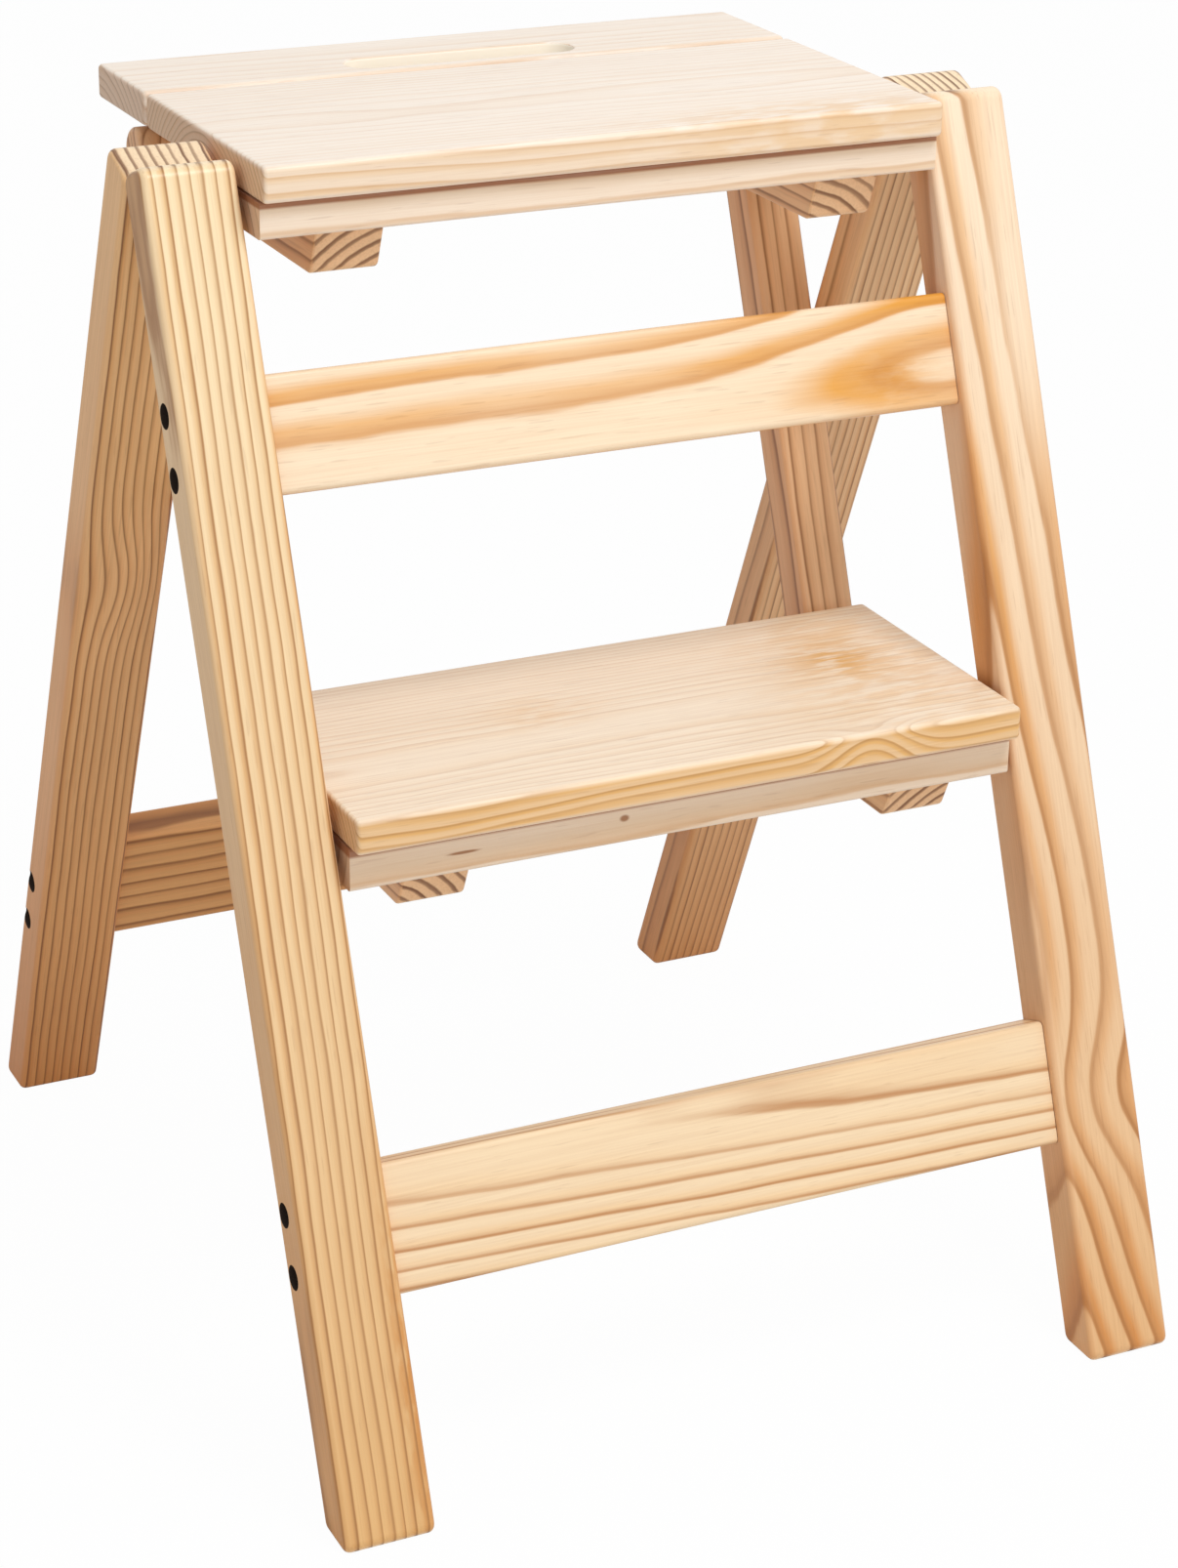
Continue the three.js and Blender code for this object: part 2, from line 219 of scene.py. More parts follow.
leg_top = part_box("seat_main_board")[1].z - leg_top_drop
joint_place = {joint["name"]: Vector(joint["pos_m"]) for joint in frame["joints"]}
body_of = {node: body for body, nodes in frame["record"]["behaviour"]["bodies"].items() for node in nodes}


def squared(node, low, high):
    """A squared bar between two corners, named after the node that it stands for."""
    bpy.ops.mesh.primitive_cube_add(size=1, location=(low + high) / 2, scale=high - low)
    piece = bpy.context.object
    piece.name = piece.data.name = f"{node}_timber"
    bpy.ops.object.transform_apply(location=True, rotation=True, scale=True)
    return piece


def clear_selection(mesh):
    for parts in (mesh.vertices, mesh.edges, mesh.polygons):
        parts.foreach_set("select", [False] * len(parts))


def round_edges(piece, radius, chosen, steps=round_steps):
    """Rounds the edges whose two ends pass the test `chosen`."""
    mesh = piece.data
    bpy.context.tool_settings.mesh_select_mode = (False, True, False)
    clear_selection(mesh)
    for edge in mesh.edges:
        edge.select = chosen(*[mesh.vertices[index].co for index in edge.vertices])
    bpy.ops.object.mode_set(mode="EDIT")
    bpy.ops.mesh.bevel(offset=radius, segments=steps, affect="EDGES")
    bpy.ops.object.mode_set(mode="OBJECT")


def round_sides(piece, radius):
    """Rounds the whole outline of the two sides that face left and right."""
    reaches = [vertex.co.x for vertex in piece.data.vertices]
    sides = (min(reaches), max(reaches))
    round_edges(piece, radius, lambda a, b: any(abs(a.x - x) < near and abs(b.x - x) < near for x in sides))


def tilt(piece, place, angle):
    piece.location = place
    piece.rotation_euler.x = angle
    bpy.ops.object.transform_apply(location=True, rotation=True, scale=True)


def saw_off(piece, place, direction):
    """Takes away what lies behind a plane, and closes the cut."""
    bpy.ops.object.mode_set(mode="EDIT")
    bpy.ops.mesh.select_all(action="SELECT")
    bpy.ops.mesh.bisect(plane_co=place, plane_no=direction, use_fill=True, clear_inner=True)
    bpy.ops.object.mode_set(mode="OBJECT")


def cut(piece, cutter):
    """Cuts one shape out of a piece. The cut face keeps the cutter's material."""
    bpy.context.view_layer.objects.active = piece
    saw = piece.modifiers.new("cut", "BOOLEAN")
    saw.object = cutter
    saw.solver = "MANIFOLD"
    saw.material_mode = "TRANSFER"
    bpy.ops.object.modifier_apply(modifier=saw.name)
    bpy.data.objects.remove(cutter)
    piece.select_set(True)


def bore(piece, node, radius, start, end):
    """Bores a hole along x, in line with a pin or a screw."""
    low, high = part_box(node)
    middle = (low + high) / 2
    place = ((start + end) / 2, middle.y, middle.z)
    bpy.ops.mesh.primitive_cylinder_add(vertices=bore_sides, radius=radius, depth=abs(end - start),
                                        location=place, rotation=(0, pi / 2, 0))
    # The bore's wall gets the painted shade of a deep hole.
    bpy.context.object.data.materials.append(painted_bore_shade)
    cut(piece, bpy.context.object)


def bore_for_pins(piece, pins):
    for pin in pins:
        low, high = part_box(pin)
        bore(piece, pin, pin_bore, low.x - bore_clear, high.x + bore_clear)


def finish(piece, node, skin):
    """Smooths a piece, gives it its material and puts it in the place of its node."""
    bpy.context.view_layer.objects.active = piece
    piece.select_set(True)
    bpy.ops.object.shade_smooth_by_angle(angle=smooth_angle)
    even = piece.modifiers.new("even", "WEIGHTED_NORMAL")
    even.keep_sharp = True
    bpy.ops.object.modifier_apply(modifier=even.name)
    if not piece.material_slots:
        piece.data.materials.append(skin)
    for place in piece.material_slots:
        place.material = place.material or skin
    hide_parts(node)
    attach(piece, body_of[node])
    piece.select_set(False)


def shade(red, green, blue):
    """A colour as seen on a screen, 0 to 255, as the shader's own numbers."""
    parts = [value / 255 for value in (red, green, blue)]
    return (*[v / 12.92 if v <= 0.04045 else ((v + 0.055) / 1.055) ** 2.4 for v in parts], 1)


# How a year's ring turns from pale to amber and to its dark line, on long faces and on end grain.
amber_season = ((0, 0.12), (0.1, 0.0), (0.36, 0.1), (0.66, 0.95), (0.93, 0.9), (1, 0.12))
line_season = ((0, 0.1), (0.05, 0.0), (0.66, 0.04), (0.79, 0.45), (0.87, 1.0), (0.94, 0.85), (1, 0.1))
sawn_season = ((0, 0.5), (0.06, 0.0), (0.6, 0.0), (0.74, 0.8), (0.94, 1.0), (1, 0.5))
amber_years_share = 0.4
line_years_share = 0.35
spacing_drift = 0.55

# The sizes of the wood's irregular marks, across the grain and along it.
sway_width = 0.05
ripple = dict(width=0.009, length=0.05, detail=2.0, shift=3.1)
flow = dict(width=0.05, length=0.22, detail=2.0, shift=7.7)
fibres = dict(width=0.0008, length=0.05, detail=2.0, shift=11.3)
ducts = dict(width=0.0009, length=0.014, detail=0.0, shift=17.9)
ragged = dict(width=0.004, length=0.016, detail=3.0, shift=23.9)
flow_stops = ((0.3, 0.3), (0.65, 1.0))
fibre_stops = ((0.35, 0.0), (0.75, 1.0))
duct_stops = ((0.69, 0.0), (0.76, 1.0))
ragged_stops = ((0.4, 0.1), (0.56, 1.0))
knot_stops = ((0.3, 0.0), (0.7, 0.9))
# A painted shadow fades out downwards from under a board.
painted_shadow_stops = ((0.7, 0.85), (1.0, 0.0))
end_stops = ((0.55, 0.0), (0.9, 1.0))
duct_share = 0.13
# How far a leg is painted darker towards the floor: painted shade for the lamp's light falling off.
painted_falloff_share = 0.9

# End grain takes the lacquer in: it is darker, and duller.
sawn_share = 0.6
sawn_line_share = 0.5
sawn_plain_share = 0.3
sawn_late_share = 0.9

lacquer_rough = 0.4
fibre_rough = 0.12
end_rough = 0.15
lacquer_weight = 0.18
lacquer_coat_rough = 0.22
lacquer_gloss = 0.35
relief_strength = 0.35
relief_depth = 0.0003
fibre_relief = 0.6
line_relief = 0.4

# Faces that look left or right are multiplied by this: painted shade, pinker and darker.
painted_side_shade = shade(254, 242, 234)
resin = shade(150, 92, 48)
# The brown of the painted shadow under a board's overhang.
painted_shadow_brown = shade(150, 84, 40)
knot_brown = shade(158, 104, 62)
sawn_line = shade(104, 60, 32)
sawn_tan = shade(214, 170, 132)
sawn_cream = shade(250, 232, 204)


def pine(node, run, pith, ring, seed, colours, lean=0.0, slant=0.0, dive=0.0, phase=0.0, wander=0.002,
         swing=0.15, waver=0.3, uneven=0.3, warmth=0.4, line=0.8, fibre=0.16, flat=0.0, edge=0.3,
         swirls=(), stains=(), knots=(), clear=(), foot=None, painted_shadow_reach=None, sawn=None):
    """Lacquered pine cut from a log. `run` is the axis that the grain follows. `pith` is how far the log's
    middle lies from the piece's, across and in depth, and it slants and dives along the piece. `ring` is
    the width of a year's growth. Below zero, the years are counted towards the log's middle. `colours` are
    of the early wood, of the warmer wood before each dark line, and of the line.
    Rings wander over the length `swing`, waver in ripples and are uneven in width. `swirls` push them
    aside, `stains` tint the wood, `knots` brown it and `clear` spots have no figure: each is given by its
    place across and along, its width and its length, and then by its push or its amount, if any.
    `flat` fades the figure of faces that look up or down, and `edge` warms the others. `foot` darkens a leg
    towards the floor: painted shade for the lamp's light falling off. `painted_shadow_reach` is the reach of a
    painted shadow, a brown band on the wood close under a board's overhang. `sawn` is the colour of end grain with
    broad lines."""
    early, amber, late = colours
    low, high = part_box(node)
    made, w = material(f"{node}_pine")
    place = w.node("ShaderNodeTexCoord", {}, "Object")
    facing = w.node("ShaderNodeTexCoord", {}, "Normal")
    log = w.node("ShaderNodeMapping", {0: place, 1: (low + high) / 2, 2: (lean, 0, 0)}, vector_type="TEXTURE")
    parts = [w.node("ShaderNodeSeparateXYZ", {0: log}, axis) for axis in range(3)]
    along = parts.pop("XYZ".index(run))
    across, deep = parts
    if run == "X" and not node.endswith(("_board", "_slat")):
        across, deep = deep, across

    def cloud(width, length, detail=1.0, shift=0.0):
        spot = w.node("ShaderNodeCombineXYZ", {0: across / width, 1: deep / width, 2: along / length})
        inputs = {"Vector": spot, "W": seed + shift, "Scale": 1.0, "Detail": detail}
        return w.node("ShaderNodeTexNoise", inputs, noise_dimensions="4D")

    def patch(at_across, at_along, wide, long):
        side, run_off = (across - at_across) / wide, (along - at_along) / long
        return w.math("EXPONENT", 0 - (side * side + run_off * run_off))

    def looks(axis):
        return w.math("ABSOLUTE", w.node("ShaderNodeSeparateXYZ", {0: facing}, axis))

    side = across - pith[0] - along * slant
    rise = deep - pith[1] + along * dive
    reach = w.math("SQRT", side * side + rise * rise)
    reach = reach + (cloud(sway_width, swing) - 0.5) * (2 * wander) + (cloud(**ripple) - 0.5) * (waver * ring)
    for *spot, push in swirls:
        reach = reach + patch(*spot) * push
    count = reach / ring + phase
    drift = {"W": count * spacing_drift + seed, "Scale": 1.0}
    count = count + w.node("ShaderNodeTexNoise", drift, noise_dimensions="1D") * uneven
    season = w.math("FRACT", count)
    year = w.node("ShaderNodeTexWhiteNoise", {"W": w.math("FLOOR", count)}, noise_dimensions="1D")

    grain_line = Matrix.Rotation(lean, 3, "X") @ Vector([float(axis == run) for axis in "XYZ"])
    end = w.node("ShaderNodeVectorMath", {0: facing, 1: grain_line}, "Value", operation="DOT_PRODUCT")
    end = w.math("ABSOLUTE", end).ramp(end_stops)
    warm = season.ramp(amber_season) * (year * amber_years_share + (1 - amber_years_share))
    warm = warm * cloud(**flow).ramp(flow_stops) * warmth
    broad = end * season.ramp(sawn_season) * (1 if sawn else sawn_plain_share)
    dark = w.math("MAXIMUM", season.ramp(line_season), broad)
    dark = dark * (year * line_years_share + (1 - line_years_share)) * (line + end * (1 - line))
    if flat:
        upward = looks("Z")
        warm = warm * (1 - upward * flat) + (1 - upward) * edge
        dark = dark * (1 - upward * flat)
    for spot in clear:
        kept = 1 - patch(*spot)
        warm = warm * kept
        dark = dark * kept

    tone = warm.mix(early, amber)
    for *spot, amount in stains:
        tone = (patch(*spot) * cloud(**ragged).ramp(ragged_stops) * amount).mix(tone, amber)
    # Painted shade: a leg darkens towards its foot, as the lamp's light falls off.
    if foot:
        sink = (0.5 - along / (high - low)["XYZ".index(run)]) * painted_falloff_share
        tone = sink.mix(tone, foot, "MULTIPLY")
    tone = (end * sawn_share).mix(tone, sawn or sawn_tan)
    line_tone = (end * sawn_late_share).mix(late, sawn_line)
    tone = (dark * (1 if sawn else 1 - end * sawn_line_share)).mix(tone, line_tone)
    streak = cloud(**fibres)
    tone = (streak.ramp(fibre_stops) * fibre).mix(tone, late)
    tone = (cloud(**ducts).ramp(duct_stops) * duct_share).mix(tone, resin)
    # Painted shade: faces that look left or right are made pinker and darker.
    if run != "X":
        tone = looks("X").mix(tone, painted_side_shade, "MULTIPLY")
    # Painted shadow: the wood close under a board is browned where the overhang's shade falls.
    if painted_shadow_reach:
        under = (high.z - w.node("ShaderNodeSeparateXYZ", {0: place}, "Z")) / painted_shadow_reach
        tone = under.ramp(painted_shadow_stops).mix(tone, painted_shadow_brown)
    for spot in knots:
        tone = patch(*spot).ramp(knot_stops).mix(tone, knot_brown)

    relief = w.node("ShaderNodeBump", {"Strength": relief_strength, "Distance": relief_depth,
                                       "Height": streak * fibre_relief + dark * line_relief})
    skin = w.node("ShaderNodeBsdfPrincipled", {
        "Base Color": tone, "Roughness": lacquer_rough + streak * fibre_rough + end * end_rough,
        "Normal": relief, "Coat Weight": lacquer_weight, "Coat Roughness": lacquer_coat_rough,
        "Specular IOR Level": lacquer_gloss})
    w.node("ShaderNodeOutputMaterial", {"Surface": skin})
    return made


def front_foot(setback):
    """The place on the floor under the middle of the front legs, from the seat's pivot."""
    pivot = joint_place["seat_fold"]
    return Vector((0, pivot.y + pivot.z * tan(front_lean) - setback / cos(front_lean), 0))


def leg(node, foot, lean, screws, pins, skin):
    low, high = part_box(node)
    outer = low.x if high.x < 0 else high.x
    sink = counterbore_depth if outer > 0 else -counterbore_depth
    length = leg_top / cos(lean)
    half = leg_thick / 2
    piece = squared(node, Vector((low.x, -half, -leg_overrun)), Vector((high.x, half, length)))
    round_edges(piece, leg_top_round,
                lambda a, b: min(a.z, b.z) > length - near and abs(a.y - b.y) < near, top_round_steps)
    tilt(piece, foot, lean)
    saw_off(piece, (0, 0, 0), (0, 0, 1))
    for sharper in (True, False):
        corner = pi / 2 - abs(lean) if sharper else pi / 2 + abs(lean)
        round_edges(piece, leg_foot_round / tan(corner / 2), lambda a, b: max(a.z, b.z) < near
                    and abs(a.y - b.y) < near and (abs(a.y) > abs(foot.y)) == sharper)
    round_sides(piece, leg_edge_round)
    for screw in screws:
        bore(piece, screw, screw_bore, low.x - bore_clear, high.x + bore_clear)
        bore(piece, screw, counterbore, outer - sink, outer + sink)
    bore_for_pins(piece, pins)
    finish(piece, node, skin)


# The bores' walls are painted near black: painted shade in the deep holes.
bore_shade_scale = 700.0
bore_shade_rough = 0.7
painted_bore_shade, bore_shade_paint = material("painted_bore_shade")
bore_shade_tone = bore_shade_paint.node("ShaderNodeTexNoise", {"Scale": bore_shade_scale}).mix(shade(34, 22, 14), shade(58, 38, 24))
bore_shade_skin = bore_shade_paint.node("ShaderNodeBsdfPrincipled", {"Base Color": bore_shade_tone, "Roughness": bore_shade_rough})
bore_shade_paint.node("ShaderNodeOutputMaterial", {"Surface": bore_shade_skin})

straw = shade(251, 228, 186)
honey = shade(228, 174, 102)
olive = shade(164, 112, 58)
cream = shade(251, 229, 200)
orange = shade(230, 168, 90)
brown = shade(164, 106, 52)
# The legs' foot colour is painted shade for the lamp's light falling off towards the floor.
front_leg_look = dict(run="Z", lean=front_lean, foot=shade(234, 202, 160), sawn=sawn_cream)
front_legs = {
    "left": dict(
        pith=(-0.14, 0.0), ring=0.0051, phase=0.5, seed=1.7, colours=(straw, honey, olive),
        slant=0.0085, wander=0.0016, uneven=0.5, waver=0.32, warmth=1.0, line=1.0,
        stains=((0.017, -0.21, 0.005, 0.08, 0.9),)),
    "right": dict(
        pith=(0.036, 0.0185), ring=0.0115, phase=0.785, seed=5.2, colours=(cream, orange, brown),
        slant=-0.07, wander=0.0012, swing=0.25, uneven=0.3, waver=0.2, warmth=1.2, line=0.8,
        swirls=((0.0, -0.166, 0.06, 0.034, -0.0125), (0.0, -0.07, 0.08, 0.06, 0.003),
                (0.0, -0.3, 0.05, 0.045, 0.009)),
        clear=((0.012, 0.18, 0.012, 0.09), (-0.021, -0.12, 0.005, 0.1))),
}
front_floor = front_foot(front_pivot_setback)
for side, wood in front_legs.items():
    node = f"front_leg_{side}"
    screws = [f"front_{rail_name}_screw_{side}_{place}"
              for rail_name in ("upper", "lower") for place in ("lower", "upper")]
    pins = [f"seat_pivot_pin_{side}", f"step_pivot_pin_{side}"]
    leg(node, front_floor, front_lean, screws, pins, pine(node, **front_leg_look, **wood))


# Front rails
# Two pine boards between the front legs, near their rear faces. Their long edges are rounded, and
# two screws through each leg hold them by their ends.
rail_thick = 0.018
rail_round = 0.0025
upper_rail_height = 0.048
lower_rail_height = 0.054
screw_grip = 0.032


def rail(node, height, lean, screws, skin):
    """A rail with a hole in each end for its screws, whose names take the side's name."""
    low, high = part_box(node)
    middle = (low + high) / 2
    half = Vector(((high.x - low.x) / 2, rail_thick / 2, height / 2))
    piece = squared(node, -half, half)
    round_edges(piece, rail_round, lambda a, b: abs(a.x - b.x) > near)
    tilt(piece, middle, lean)
    for side, way in (("left", -1), ("right", 1)):
        for screw in screws:
            start, end = way * (half.x + bore_clear), way * (half.x - screw_grip)
            bore(piece, screw.format(side), screw_bore, start, end)
    finish(piece, node, skin)


upper_wood = dict(
    pith=(-0.0145, 0.011), ring=-0.0123, phase=0.739, seed=12.6,
    colours=(shade(249, 226, 194), shade(231, 162, 64), shade(192, 120, 42)),
    slant=0.018, wander=0.0012, waver=0.22, uneven=0.1, warmth=2.4, line=0.65,
    swirls=((0.015, 0.155, 0.05, 0.08, -0.0145),), stains=((-0.01, 0.122, 0.013, 0.022, 0.7),))
lower_wood = dict(
    pith=(0.0216, 0.01435), ring=0.0066, phase=0.215, seed=14.1,
    colours=(shade(248, 221, 182), shade(242, 192, 124), shade(184, 120, 62)),
    slant=-0.02, dive=0.022, wander=0.0012, uneven=0.2, waver=0.2, warmth=0.5, line=0.9,
    clear=((0.0225, -0.01, 0.0055, 0.045),))
front_rails = (("upper", upper_rail_height, upper_wood), ("lower", lower_rail_height, lower_wood))
for rail_name, height, wood in front_rails:
    node = f"front_{rail_name}_rail"
    screws = [f"front_{rail_name}_screw_{{}}_{place}" for place in ("lower", "upper")]
    rail(node, height, front_lean, screws, pine(node, "X", lean=front_lean, **wood))


# Seat
# Two boards of pale pine with a gap between them, glued to the batten and cleats below. The slot in
# the rear one is the handle that the stool is lifted and folded by, and its rims are eased.
board_corner_round = 0.0024
board_end_round = 0.002
slot_length = 0.108
slot_width = 0.02
slot_inset = 0.0175
slot_rim_round = 0.0012
slot_rim_steps = 3
slot_steps = 12
# Noise scale and roughness of the slot walls' painted light.
lit_wall_scale = 90.0
lit_wall_rough = 0.6

pale = shade(251, 239, 225)
pale_amber = shade(238, 198, 146)
pale_line = shade(204, 152, 98)


def board(node, skin, corner_round=board_corner_round, end_round=board_end_round, pins=(), slot_box=None):
    low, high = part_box(node)
    piece = squared(node, low, high)
    round_edges(piece, corner_round, lambda a, b: abs(a.x - b.x) > near)
    if end_round:
        round_sides(piece, end_round)
    bore_for_pins(piece, pins)
    if slot_box:
        cut(piece, slot_cutter(*slot_box))
        ease_slot(piece, *slot_box)
    finish(piece, node, skin)


def slot_cutter(low, high):
    piece = squared("slot", low, high)
    # The slot's walls get its painted light.
    piece.data.materials.append(painted_light_wall)
    half_width = (high.y - low.y) / 2 - near
    round_edges(piece, half_width, lambda a, b: abs(a.z - b.z) > near, slot_steps)
    return piece


def ease_slot(piece, low, high):
    heights = [vertex.co.z for vertex in piece.data.vertices]
    top, bottom = max(heights), min(heights)

    def rim(point):
        inside = low.x - near < point.x < high.x + near and low.y - near < point.y < high.y + near
        return inside and (abs(point.z - top) < near or abs(point.z - bottom) < near)

    round_edges(piece, slot_rim_round,
                lambda a, b: rim(a) and rim(b) and abs(a.z - b.z) < near, slot_rim_steps)


# The slot's walls are painted nearly white: painted light for the lamp's light on the slot's far wall.
painted_light_wall, lit_wall_paint = material("painted_light_wall")
lit_wall_noise = lit_wall_paint.node("ShaderNodeTexNoise", {"Scale": lit_wall_scale})
lit_wall_tone = lit_wall_noise.mix(shade(255, 244, 224), shade(255, 250, 238))
lit_wall_skin = lit_wall_paint.node("ShaderNodeBsdfPrincipled", {"Base Color": lit_wall_tone, "Roughness": lit_wall_rough})
lit_wall_paint.node("ShaderNodeOutputMaterial", {"Surface": lit_wall_skin})

board_look = dict(run="X", wander=0.003, warmth=0.5, line=0.5, fibre=0.18, uneven=0.6, flat=0.6)
seat_look = dict(colours=(pale, pale_amber, pale_line), **board_look)
board("seat_main_board", pine("seat_main_board", pith=(0.0, -0.045), ring=0.003, seed=51.2, edge=0.4,
                              stains=((-0.065, 0.1, 0.02, 0.08, 0.7),), **seat_look))
slat_low, slat_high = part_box("seat_rear_slat")
slat_thick = slat_high.z - slat_low.z
slot_middle = slat_low.y + slot_inset
slot_low = Vector((-slot_length / 2, slot_middle - slot_width / 2, slat_low.z - slat_thick))
slot_high = Vector((slot_length / 2, slot_middle + slot_width / 2, slat_high.z + slat_thick))
slat_skin = pine("seat_rear_slat", pith=(0.03, -0.05), ring=0.0042, seed=55.8, edge=0.0, **seat_look)
board("seat_rear_slat", slat_skin, slot_box=(slot_low, slot_high))


# Seat batten and cleats
# A pine batten under the seat's front edge takes the front pivots in its ends. Two pine cleats run
# back from it, notched over it and sawn off at a slant in front, and carry the links at the rear.
batten_round = 0.0015
cleat_undercut = 0.007
cleat_front_round = 0.003
cleat_end_round = 0.009
cleat_edge_round = 0.0012
joint_gap = 0.0003


def cleat(board_name, side, skin):
    node = f"{board_name}_cleat_{side}"
    low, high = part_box(node)
    batten_low, batten_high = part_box(f"{board_name}_front_batten")
    notch_rear = batten_high.y + joint_gap
    notch_floor = batten_low.z - joint_gap
    piece = squared(node, low, high)
    notch = squared("notch", Vector((low.x - joint_gap, low.y - joint_gap, notch_floor)),
                    Vector((high.x + joint_gap, notch_rear, high.z + joint_gap)))
    cut(piece, notch)
    slope = Vector((0, notch_floor - low.z, cleat_undercut)).normalized()
    saw_off(piece, (0, low.y, notch_floor), slope)
    round_edges(piece, cleat_end_round,
                lambda a, b: min(a.y, b.y) > high.y - near and max(a.z, b.z) < low.z + near, top_round_steps)
    toe = low.y + cleat_undercut
    round_edges(piece, cleat_front_round,
                lambda a, b: max(a.z, b.z) < low.z + near and max(abs(a.y - toe), abs(b.y - toe)) < near)
    round_sides(piece, cleat_edge_round)
    bore_for_pins(piece, [f"link_{board_name}_pin_{side}"])
    finish(piece, node, skin)


def underside(board_name, batten_wood, cleat_woods):
    """The batten and the two cleats of the seat or of the step."""
    batten = f"{board_name}_front_batten"
    pins = [f"{board_name}_pivot_pin_{side}" for side in ("left", "right")]
    board(batten, pine(batten, **batten_wood), batten_round, None, pins)
    for side, wood in cleat_woods.items():
        cleat(board_name, side, pine(f"{board_name}_cleat_{side}", **cleat_look, **wood))


cleat_look = dict(
    run="Y", colours=(shade(252, 216, 170), shade(232, 172, 114), shade(132, 78, 40)), ring=0.0055,
    wander=0.0015, line=0.85, warmth=0.45, sawn=shade(238, 186, 140))
# The seat batten gets a painted shadow band under the seat's overhang.
underside("seat", dict(pith=(-0.05, 0.07), ring=0.006, seed=66.6, painted_shadow_reach=0.003, **seat_look), {
    "left": dict(pith=(0.03, -0.05), seed=41.5),
    "right": dict(pith=(-0.03, -0.06), seed=43.1)})


# Step
# One board of pale pine, stained towards one end, on a pine batten thicker than the seat's and two
# cleats like the seat's. All are glued, and the batten's face shows a small knot and a short streak.
step_wood = dict(
    run="X", pith=(-0.02, -0.03), ring=0.003, seed=61.4,
    colours=(shade(255, 239, 216), shade(236, 184, 112), shade(176, 122, 72)),
    wander=0.004, warmth=0.6, line=0.6, fibre=0.18, uneven=0.6, flat=0.65, edge=0.7,
    stains=((0.011, 0.107, 0.017, 0.014, 1.0), (0.007, -0.04, 0.016, 0.022, 0.4),
            (0.0, 0.12, 0.08, 0.05, 0.5)),
    swirls=((-0.07, 0.08, 0.012, 0.02, -0.008),))
# The step batten gets a painted shadow band under the step's overhang.
step_batten_wood = dict(
    pith=(0.03, 0.08), ring=0.006, seed=71.9,
    colours=(shade(242, 225, 205), shade(230, 192, 148), pale_line), painted_shadow_reach=0.0042,
    knots=((0.0018, -0.0312, 0.0017, 0.0024), (-0.0005, -0.1032, 0.0008, 0.008)), **board_look)
board("step_board", pine("step_board", **step_wood))
underside("step", step_batten_wood, {
    "left": dict(pith=(-0.03, -0.04), seed=47.5),
    "right": dict(pith=(0.04, -0.05), seed=49.1)})


# Links
# Two pine bars with fully rounded ends stand behind the step, parallel to the front legs. They are
# pinned to the rear ends of the cleats, so that seat and step turn together, and carry the rear legs.
link_thick = 0.023
link_lower_reach = 0.014
link_upper_reach = 0.023
link_edge_round = 0.0025

link_look = dict(
    run="Z", lean=front_lean, colours=(shade(245, 201, 155), shade(220, 160, 103), shade(138, 82, 42)),
    ring=0.0052, wander=0.003, line=0.85, warmth=0.7)
link_woods = {"left": dict(pith=(-0.05, 0.03), seed=29.5), "right": dict(pith=(0.05, 0.03), seed=31.5)}
for side, wood in link_woods.items():
    node = f"link_{side}"
    low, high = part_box(node)
    lower = joint_place["link_fold"]
    pin_low, pin_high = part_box(f"link_seat_pin_{side}")
    upper = (pin_low + pin_high) / 2
    length = Vector((0, upper.y - lower.y, upper.z - lower.z)).length
    half = link_thick / 2
    foot, head = Vector((low.x, -half, -link_lower_reach)), Vector((high.x, half, length + link_upper_reach))
    piece = squared(node, foot, head)
    round_edges(piece, half - near, lambda a, b: abs(a.x - b.x) > near, top_round_steps)
    tilt(piece, Vector((0, lower.y, lower.z)), front_lean)
    round_sides(piece, link_edge_round)
    bore_for_pins(piece, [f"link_seat_pin_{side}", f"link_step_pin_{side}", f"rear_pivot_pin_{side}"])
    finish(piece, node, pine(node, **link_look, **wood))


# Rear legs and rail
# Two planed pine legs lean forward at 23 degrees, cross the links and are pinned to them. In use
# their tops rest against the front legs' tops. One deep rail of darker pine is screwed between them.
rear_lean = radians(23)
rear_rail_height = 0.065

rear_pivot = joint_place["rear_frame_fold"]
rear_floor = Vector((0, rear_pivot.y + rear_pivot.z * tan(rear_lean), 0))
bark = shade(118, 70, 34)
# The rear legs' foot colour is painted shade for the lamp's light falling off towards the floor.
rear_leg_look = dict(
    run="Z", lean=rear_lean, foot=shade(222, 182, 142), sawn=sawn_cream, wander=0.002, warmth=0.6)
rear_legs = {
    "left": dict(
        pith=(0.09, 0.0), ring=0.0043, phase=0.6, seed=8.4,
        colours=(shade(255, 214, 158), shade(236, 168, 92), bark), line=0.9,
        swirls=((0.001, 0.06, 0.015, 0.03, 0.007),)),
    "right": dict(
        pith=(-0.09, -0.03), ring=0.0041, seed=9.9,
        colours=(shade(255, 222, 176), shade(238, 176, 110), bark), line=0.8),
}
for side, wood in rear_legs.items():
    node = f"rear_leg_{side}"
    screws = [f"rear_lower_screw_{side}_{place}" for place in ("lower", "upper")]
    leg(node, rear_floor, rear_lean, screws, [f"rear_pivot_pin_{side}"], pine(node, **rear_leg_look, **wood))
rear_wood = dict(
    run="X", lean=rear_lean, pith=(-0.08, 0.03), ring=0.0085, seed=21.3, wander=0.002, line=0.85, warmth=0.7,
    colours=(shade(231, 174, 113), shade(208, 135, 68), bark))
rear_screws = [f"rear_lower_screw_{{}}_{place}" for place in ("lower", "upper")]
rail("rear_lower_rail", rear_rail_height, rear_lean, rear_screws, pine("rear_lower_rail", **rear_wood))


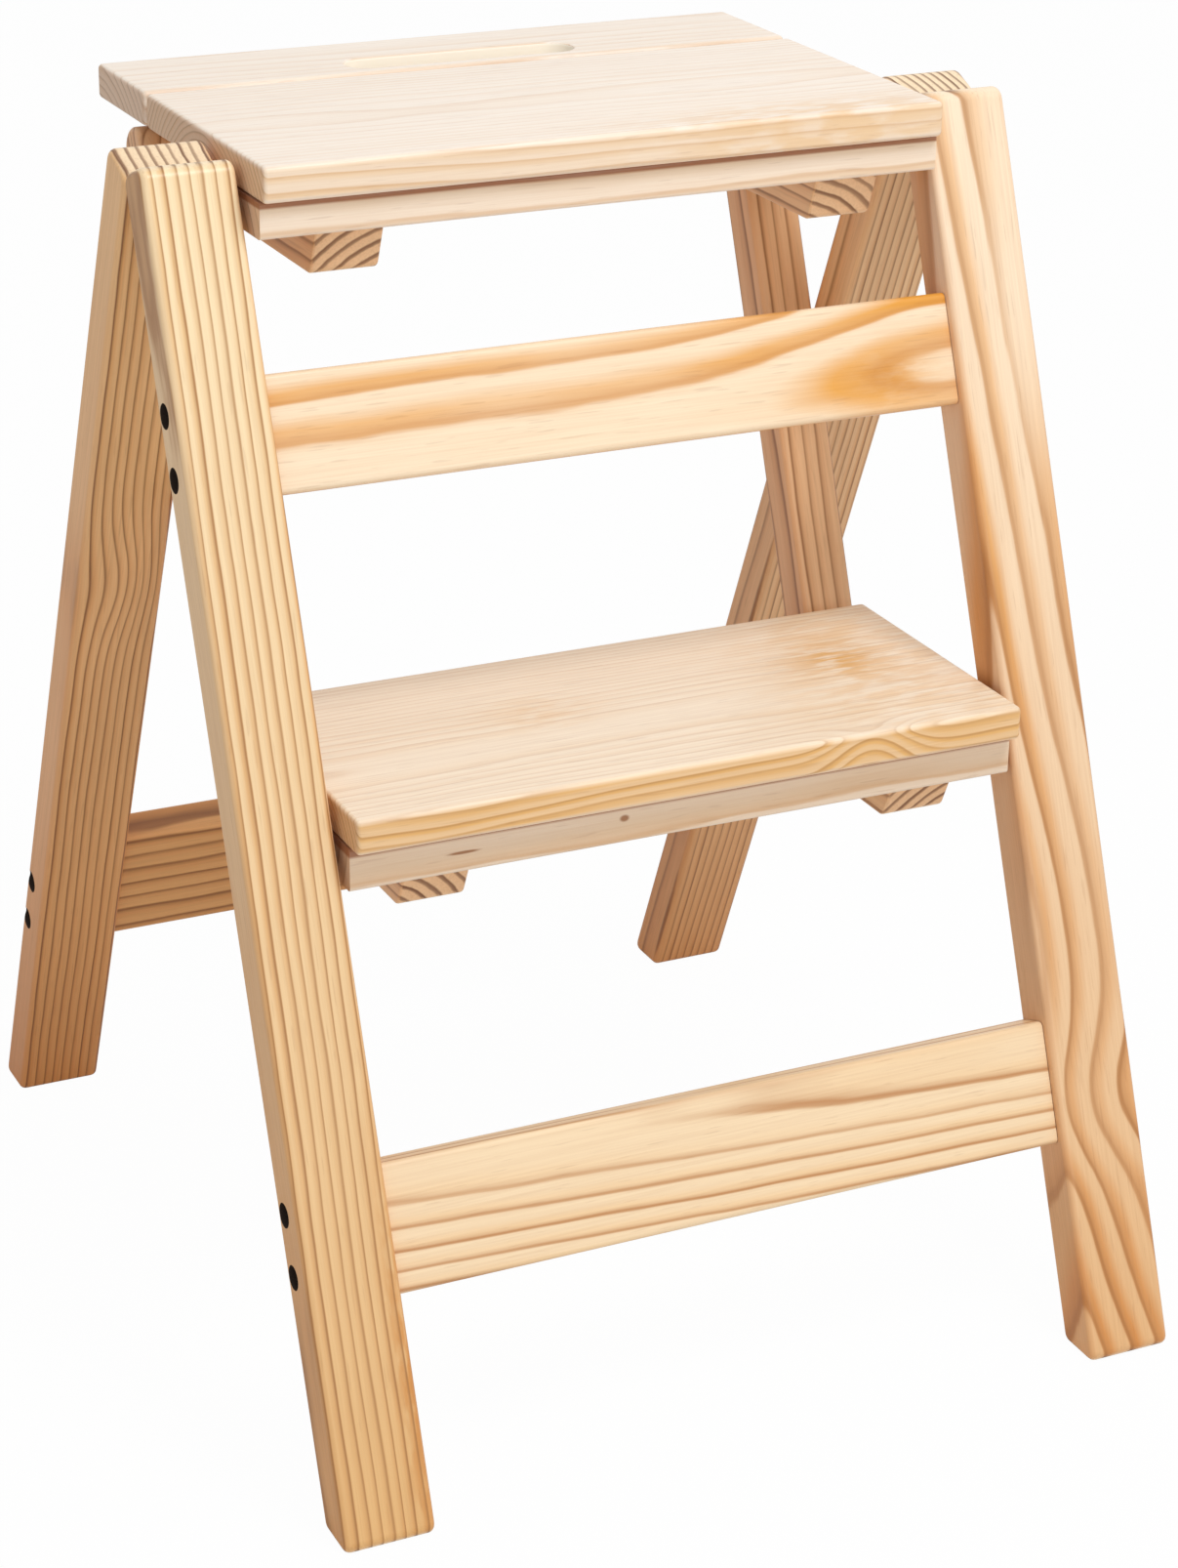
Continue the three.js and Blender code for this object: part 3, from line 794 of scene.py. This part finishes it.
# Screws and pins
# Black steel screws with cross recesses at the bottom of the legs' counterbores, driven into the
# rails' ends, and bright steel pins with eased ends in the pivots' blind holes.
screw_head = 0.0044
screw_head_thick = 0.003
screw_head_round = 0.0008
screw_head_steps = 4
screw_shank = 0.0023
screw_taper = 0.005
screw_point = 0.0004
recess_depth = 0.0019
recess_reach = 0.0025
recess_width = 0.0011
pin_radius = 0.0035
pin_end_round = 0.0008
pin_end_steps = 3
turned_sides = 32
mottle_scale = 900.0
mottle_detail = 2.0
mottle_rough = 0.15


def metal(name, dark, light, rough):
    made, w = material(name)
    place = w.node("ShaderNodeTexCoord", {}, "Object")
    inputs = {"Vector": place, "Scale": mottle_scale, "Detail": mottle_detail}
    mottle = w.node("ShaderNodeTexNoise", inputs)
    skin = w.node("ShaderNodeBsdfPrincipled", {
        "Base Color": mottle.mix(dark, light), "Metallic": 1.0, "Roughness": rough + mottle * mottle_rough})
    w.node("ShaderNodeOutputMaterial", {"Surface": skin})
    return made


def round_bar(name, radius, start, end):
    """A round bar along x."""
    bpy.ops.mesh.primitive_cylinder_add(vertices=turned_sides, radius=radius, depth=end - start,
                                        location=((start + end) / 2, 0, 0), rotation=(0, pi / 2, 0))
    piece = bpy.context.object
    piece.name = piece.data.name = name
    bpy.ops.object.transform_apply(location=True, rotation=True, scale=True)
    return piece


def draw_out(piece, margin, steps):
    """Insets the rear end of a round bar and draws it out by steps of a length and a growth in width."""
    mesh = piece.data
    rear = min(vertex.co.x for vertex in mesh.vertices)
    bpy.context.tool_settings.mesh_select_mode = (False, False, True)
    clear_selection(mesh)
    for face in mesh.polygons:
        face.select = face.center.x < rear + near
    bpy.ops.object.mode_set(mode="EDIT")
    bpy.ops.mesh.inset(thickness=margin)
    for length, growth in steps:
        bpy.ops.mesh.extrude_region_move(TRANSFORM_OT_translate={"value": (-length, 0, 0)})
        bpy.ops.transform.resize(value=(1, growth, growth))
    bpy.ops.object.mode_set(mode="OBJECT")


def place_copy(pattern, node, skin, turned):
    """A copy of a pattern piece at a node, turned about z to face left."""
    low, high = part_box(node)
    piece = pattern.copy()
    piece.data = pattern.data.copy()
    piece.name = piece.data.name = f"{node}_turned"
    bpy.context.scene.collection.objects.link(piece)
    piece.location = Vector((low.x if turned else high.x, (low.y + high.y) / 2, (low.z + high.z) / 2))
    piece.rotation_euler.z = pi if turned else 0
    bpy.context.view_layer.objects.active = piece
    piece.select_set(True)
    bpy.ops.object.transform_apply(location=True, rotation=True, scale=True)
    finish(piece, node, skin)


black_steel = metal("black_steel", shade(30, 29, 28), shade(52, 50, 48), rough=0.4)
bright_steel = metal("bright_steel", shade(120, 122, 126), shade(165, 166, 168), rough=0.28)

screw_nodes = [name for name in frame["nodes"] if "screw" in name]
low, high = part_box(screw_nodes[0])
shank_length = high.x - low.x - screw_head_thick - screw_taper
screw = round_bar("screw", screw_head, -screw_head_thick, 0)
draw_out(screw, screw_head - screw_shank, [(shank_length, 1), (screw_taper, screw_point / screw_shank)])
round_edges(screw, screw_head_round,
            lambda a, b: min(a.x, b.x) > -near and a.yz.length > screw_shank, screw_head_steps)
for wide, tall in ((recess_reach, recess_width / 2), (recess_width / 2, recess_reach)):
    arm = Vector((recess_depth, wide, tall))
    cut(screw, squared("recess", -arm, arm))
screw.select_set(False)
for name in screw_nodes:
    place_copy(screw, name, black_steel, "left" in name)
bpy.data.objects.remove(screw)

pin_nodes = [name for name in frame["nodes"] if "_pin_" in name]
for name in pin_nodes:
    low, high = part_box(name)
    pin = round_bar("pin", pin_radius, low.x - high.x, 0)
    round_edges(pin, pin_end_round, lambda a, b: abs(a.x - b.x) < near, pin_end_steps)
    pin.select_set(False)
    place_copy(pin, name, bright_steel, False)
    bpy.data.objects.remove(pin)
